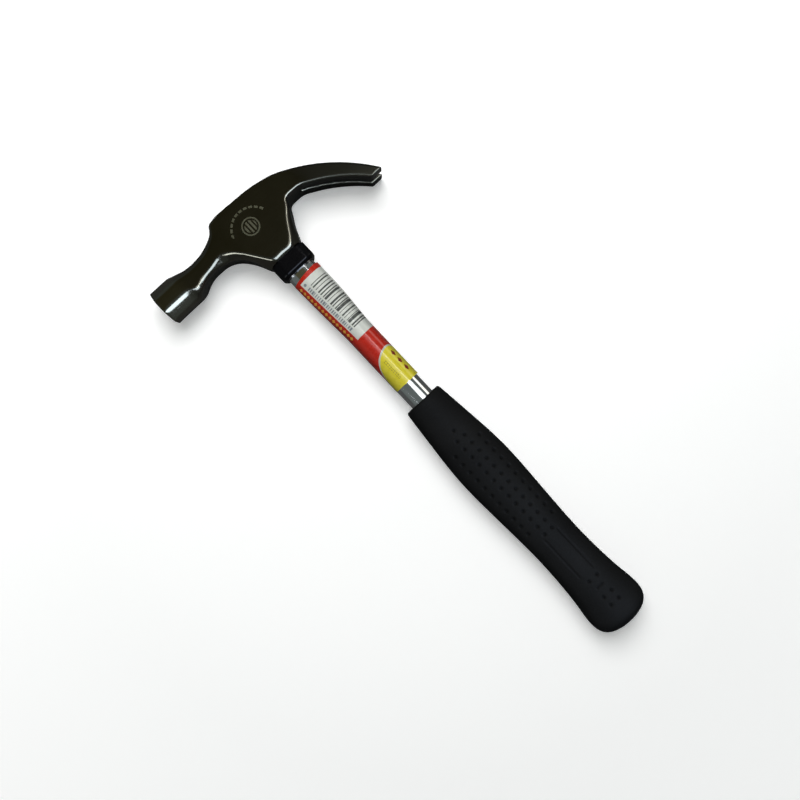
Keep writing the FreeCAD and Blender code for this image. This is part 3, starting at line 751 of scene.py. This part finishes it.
def make_grip(paint):
    """The moulded rubber grip, with its dimples, grooves, rounded lip and butt."""
    tree = surface("grip")
    turns = grip_turns()
    dimples = grip_dimples()
    bore = node_box("handle_tube")[1].z - AXIS_Z + BORE_GAP
    wide, thin = half_sizes(tree, grip_low.x + END_INSET)
    rings = []
    for inward, back in LIP:
        rings.append(oval_ring(grip_low.x + back, max(wide - inward, bore), max(thin - inward, bore), turns))
    for x in grip_stations():
        rings.append(sunk_ring(x, *half_sizes(tree, x), turns, dimples))
    end = grip_high.x - END_INSET
    wide, thin = half_sizes(tree, end)
    for share in BUTT:
        rings.append(oval_ring(end - BUTT_DISH * (1 - share), wide * share, thin * share, turns))
    add_piece("rubber_grip", mesh_from_rings("rubber_grip", rings), paint, "grip")


def dress(node, paint):
    """Gives a CAD node that stays a better material."""
    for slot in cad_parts[node].material_slots:
        slot.material = paint


# Studio --------------------------------------------------------------------------------------------------

FLOOR_FAR = 3.0               # how far the floor reaches from the origin
FLOOR_LEVEL = -0.0003         # just below the hammer
FLOOR_SEEN = rgb(0.95, 0.95, 0.95)    # as the camera sees it
FLOOR_FELT = rgb(0.10, 0.10, 0.10)    # as the hammer is lit by it and reflects it
FLOOR_MIDDLE = ((head_low.x + grip_high.x) / 2 * MM, 0.0, 0.0)
FLOOR_LIFT = (0.30, 0.80)     # light that the floor adds of its own, near that middle and far from it
FLOOR_REACH = (0.22, 1.20)    # how far from it near ends and far begins
WORLD_SEEN = rgb(0.9, 0.9, 0.9)
WORLD_FELT = rgb(0.115, 0.13, 0.125)

CARD_LOW = (-1.1, -0.8)       # two opposite corners of a dim card over the head, and its height
CARD_HIGH = (-0.05, 0.35)
CARD_LEVEL = 1.1
CARD_COLOURS = rgb(0.01, 0.01, 0.008), rgb(0.015, 0.014, 0.012)
CARD_GLOW = rgb(1.0, 0.93, 0.45)
CARD_GLOW_STRENGTH = 0.06

# The soft light that casts the shadow, then the panels of light: place, target, size, watts, colour.
KEY_LIGHT = ((-0.33, 0.25, 0.87), (0.10, 0.0, 0.0), (0.70, 0.70), 9.5, (1.0, 1.0, 1.0))
PANELS = {
    "sheen_light": ((0.27, 0.38, 1.0), (0.12, 0.0, 0.0), (0.50, 0.72), 1.7, (0.97, 0.99, 1.0)),
    "end_light": ((0.60, 0.125, 0.72), (0.0, 0.125, 0.0), (0.75, 0.80), 13.0, (0.66, 0.79, 1.0)),
    "front_light": ((0.60, -1.20, 0.72), (0.0, -0.6, 0.0), (0.60, 0.80), 9.0, (0.88, 0.94, 1.0)),
    "strip_light": ((0.27, 0.44, 1.0), (0.12, 0.0, 0.0), (0.9, 0.06), 1.8, (1.0, 1.0, 1.0)),
    "side_light": ((0.13, 1.25, 0.30), (0.12, 0.0, 0.0), (0.5, 0.5), 1.1, (1.0, 0.96, 0.88)),
}

CAMERA_AT = (0.1337, -0.0097)
CAMERA_HEIGHT = 0.482         # above the handle's axis
CAMERA_TURN = math.radians(46.73)
CAMERA_LENS = 37.14
CAMERA_SENSOR = 36.0


def stage_plane(name, low, high, level, paint):
    """A level oblong of the stage between two opposite corners."""
    corners = [(low[0], low[1]), (high[0], low[1]), (high[0], high[1]), (low[0], high[1])]
    mesh = bpy.data.meshes.new(name)
    mesh.from_pydata([(x, y, level) for x, y in corners], [], [(0, 1, 2, 3)])
    mesh.materials.append(paint)
    made = bpy.data.objects.new(name, mesh)
    bpy.context.scene.collection.objects.link(made)
    return made


def area_light(name, place, target, size, watts, colour):
    lamp = bpy.data.lights.new(name, "AREA")
    lamp.shape = "RECTANGLE"
    lamp.size, lamp.size_y = size
    lamp.energy = watts
    lamp.color = colour
    made = bpy.data.objects.new(name, lamp)
    made.location = place
    made.rotation_mode = "QUATERNION"
    made.rotation_quaternion = (Vector(target) - Vector(place)).to_track_quat("-Z", "Y")
    bpy.context.scene.collection.objects.link(made)
    return made


def show_camera(tree, seen, felt, output):
    """Shows one shader to the camera and the other to everything that is lit by it or reflects it."""
    to_camera = new_node(tree, "ShaderNodeLightPath").outputs["Is Camera Ray"]
    chooser = new_node(tree, "ShaderNodeMixShader", to_camera, felt.outputs[0], seen.outputs[0])
    tree.links.new(chooser.outputs[0], tree.nodes[output].inputs["Surface"])


def floor_paint():
    """A floor that looks pale and lifted to the camera, and darker to the hammer."""
    material = bpy.data.materials.new("pale_floor")
    material.use_nodes = True
    tree = material.node_tree
    place = new_node(tree, "ShaderNodeTexCoord").outputs["Object"]
    away = new_node(tree, "ShaderNodeVectorMath", place, FLOOR_MIDDLE, operation="DISTANCE").outputs["Value"]
    strength = new_node(tree, "ShaderNodeMapRange", away, *FLOOR_REACH, *FLOOR_LIFT).outputs[0]
    lift = new_node(tree, "ShaderNodeEmission", Strength=strength)
    pale = new_node(tree, "ShaderNodeBsdfDiffuse", FLOOR_SEEN)
    seen = new_node(tree, "ShaderNodeAddShader", pale.outputs[0], lift.outputs[0])
    felt = new_node(tree, "ShaderNodeBsdfDiffuse", FLOOR_FELT)
    show_camera(tree, seen, felt, "Material Output")
    return material


def card_paint():
    """Nearly black card that glows a little, for the warm dark look of the steel."""
    card = Paint("dim_card", Roughness=0.9, Emission_Color=CARD_GLOW, Emission_Strength=CARD_GLOW_STRENGTH)
    card.colour(card.mix(card.noise(scale=0.01), *CARD_COLOURS))
    return card.material


def make_world():
    """Surroundings that are pale to the camera and dim to the hammer."""
    world = bpy.data.worlds.new("studio")
    world.use_nodes = True
    bpy.context.scene.world = world
    felt = world.node_tree.nodes["Background"]
    felt.inputs["Color"].default_value = WORLD_FELT
    seen = new_node(world.node_tree, "ShaderNodeBackground", Color=WORLD_SEEN)
    show_camera(world.node_tree, seen, felt, "World Output")


def make_studio():
    """The floor, the light that casts the shadow, and what the polished pieces reflect.

    The camera doesn't see the card. The panels light nothing matte and only show as reflections.
    """
    stage_plane("floor", (-FLOOR_FAR, -FLOOR_FAR), (FLOOR_FAR, FLOOR_FAR), FLOOR_LEVEL, floor_paint())
    card = stage_plane("dim_card", CARD_LOW, CARD_HIGH, CARD_LEVEL, card_paint())
    card.visible_camera = False
    area_light("key_light", *KEY_LIGHT).visible_glossy = False
    for name, settings in PANELS.items():
        area_light(name, *settings).visible_diffuse = False
    make_world()
    bpy.context.scene.view_settings.view_transform = "Standard"


def make_camera():
    """Straight above a place on the handle, turned so that the handle runs down to the right."""
    lens = bpy.data.cameras.new("camera")
    lens.sensor_width = CAMERA_SENSOR
    lens.lens = CAMERA_LENS
    made = bpy.data.objects.new("camera", lens)
    made.location = (*CAMERA_AT, CAMERA_HEIGHT + AXIS_Z * MM)
    made.rotation_euler = (0.0, 0.0, CAMERA_TURN)
    bpy.context.scene.collection.objects.link(made)
    bpy.context.scene.camera = made


make_camera()
make_studio()
make_head(steel_paint())
make_collar(collar_paint())
make_label(film_paint())
make_grip(rubber_paint())
dress("handle_tube", chrome_paint())
dress("eye_wedge", plain_paint("bare_steel", BARE_STEEL, scale=0.8, roughness=(0.25, 0.5), depth=0.01,
                               metallic=1.0))
dress("shock_dowel", plain_paint("beech", BEECH, scale=0.9, roughness=(0.5, 0.7), depth=0.04,
                                 stretch=(0.06, 1.0, 1.0)))
dress("eye_seal", plain_paint("epoxy_fill", EPOXY, scale=0.4, roughness=(0.25, 0.5), depth=0.05))
dress("butt_plug", plain_paint("black_plug", PLUG_BLACK, scale=0.7, roughness=(0.4, 0.6), depth=0.02))
